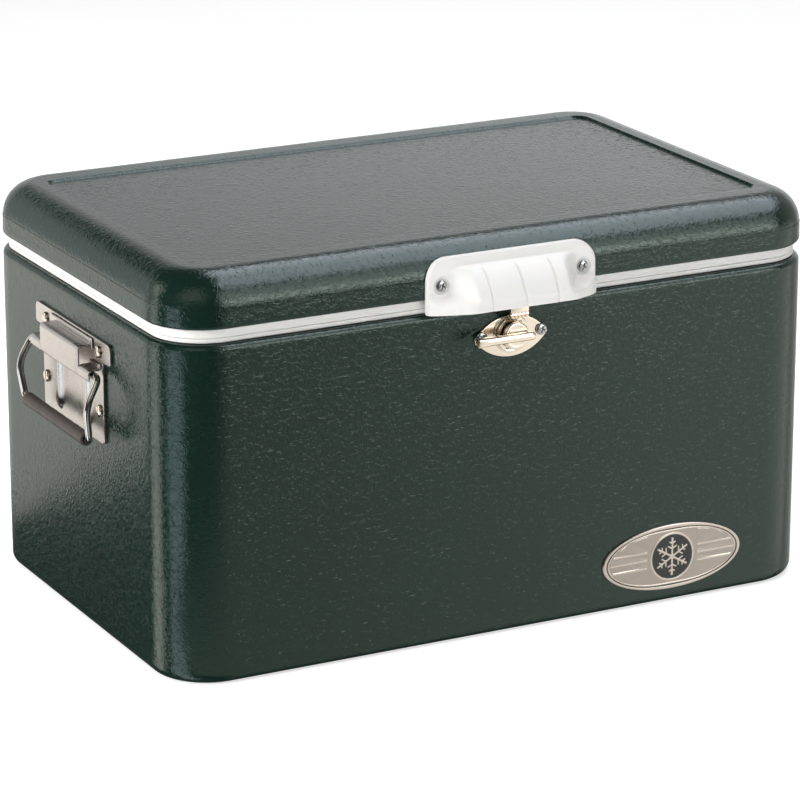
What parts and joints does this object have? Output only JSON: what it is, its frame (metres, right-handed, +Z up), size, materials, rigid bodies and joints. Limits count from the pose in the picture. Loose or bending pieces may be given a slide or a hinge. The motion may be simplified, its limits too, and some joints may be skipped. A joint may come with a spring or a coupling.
{
  "type": "steel ice chest",
  "caption": "Rectangular steel-clad insulated ice chest with a hinged lid, front pull, turn-handle latch, drop bails on its ends and a screw-capped drain.",
  "frame": {"origin": "centre of the underside, on the resting face", "axes": "+X towards the chest's right end with the drain, -Y the front with the latch, +Z up"},
  "size_m": [0.6478, 0.4225, 0.34],
  "materials": {
    "enamelled_steel": "glossy dark green enamel on pebble-embossed sheet steel",
    "white_plastic": "satin moulded white plastic",
    "foam": "blown insulating foam",
    "seal_vinyl": "soft off-white vinyl",
    "nickel_plate": "bright nickel plate on steel",
    "stainless": "satin rolled stainless sheet",
    "grip_vinyl": "matte dark vinyl tube",
    "pewter_badge": "die-struck pewter-toned metal"
  },
  "bodies": {
    "chest": {"base_pan": "enamelled_steel", "body_foam": "foam", "drain_nut": "white_plastic", "drain_spout": "white_plastic", "front_badge": "pewter_badge", "inner_liner": "white_plastic", "latch_boss": "nickel_plate", "latch_plate": "nickel_plate", "latch_screw_left": "nickel_plate", "latch_screw_right": "nickel_plate", "left_bracket_hood": "stainless", "left_bracket_plate": "stainless", "left_bracket_screw_1": "stainless", "left_bracket_screw_2": "stainless", "left_bracket_screw_3": "stainless", "left_bracket_screw_4": "stainless", "left_hinge_body_leaf": "stainless", "left_hinge_body_screw_1": "stainless", "left_hinge_body_screw_2": "stainless", "left_hinge_pin": "stainless", "outer_shell": "enamelled_steel", "right_bracket_hood": "stainless", "right_bracket_plate": "stainless", "right_bracket_screw_1": "stainless", "right_bracket_screw_2": "stainless", "right_bracket_screw_3": "stainless", "right_bracket_screw_4": "stainless", "right_hinge_body_leaf": "stainless", "right_hinge_body_screw_1": "stainless", "right_hinge_body_screw_2": "stainless", "right_hinge_pin": "stainless"},
    "lid": {"keeper_strap": "nickel_plate", "left_hinge_lid_leaf": "stainless", "left_hinge_lid_screw_1": "stainless", "left_hinge_lid_screw_2": "stainless", "lid_foam": "foam", "lid_gasket": "seal_vinyl", "lid_handle": "white_plastic", "lid_handle_screw_left": "nickel_plate", "lid_handle_screw_right": "nickel_plate", "lid_liner": "white_plastic", "lid_skin": "enamelled_steel", "right_hinge_lid_leaf": "stainless", "right_hinge_lid_screw_1": "stainless", "right_hinge_lid_screw_2": "stainless"},
    "left_bail": {"left_bail_grip": "grip_vinyl", "left_bail_wire": "nickel_plate"},
    "right_bail": {"right_bail_grip": "grip_vinyl", "right_bail_wire": "nickel_plate"},
    "latch": {"latch_knob": "nickel_plate"},
    "drain_seal": {"drain_washer": "grip_vinyl"},
    "drain_closure": {"drain_cap": "white_plastic"}
  },
  "joints": [
    {"name": "lid_hinge", "type": "hinge", "parent": "chest", "child": "lid", "pos_m": [0, 0.1975, 0.29], "axis": [-1, 0, 0], "range_deg": [0, 95]},
    {"name": "left_bail_swing", "type": "hinge", "parent": "chest", "child": "left_bail", "pos_m": [-0.3088, 0, 0.2305], "axis": [0, 1, 0], "range_deg": [0, 90]},
    {"name": "right_bail_swing", "type": "hinge", "parent": "chest", "child": "right_bail", "pos_m": [0.3088, 0, 0.2305], "axis": [0, -1, 0], "range_deg": [0, 90]},
    {"name": "latch_turn", "type": "hinge", "parent": "chest", "child": "latch", "pos_m": [0, -0.2, 0.2595], "axis": [0, -1, 0], "range_deg": [0, 90]},
    {"name": "drain_travel", "type": "slide", "parent": "chest", "child": "drain_seal", "axis": [1, 0, 0], "range_m": [0, 0.009]},
    {"name": "drain_cap_spin", "type": "hinge", "parent": "drain_seal", "child": "drain_closure", "pos_m": [0.31, 0.115, 0.052], "axis": [1, 0, 0], "range_deg": [0, 1080]}
  ],
  "couplings": [
    {"joint": "drain_travel", "follows": "drain_cap_spin", "m_per_rad": 0.00047746}
  ]
}
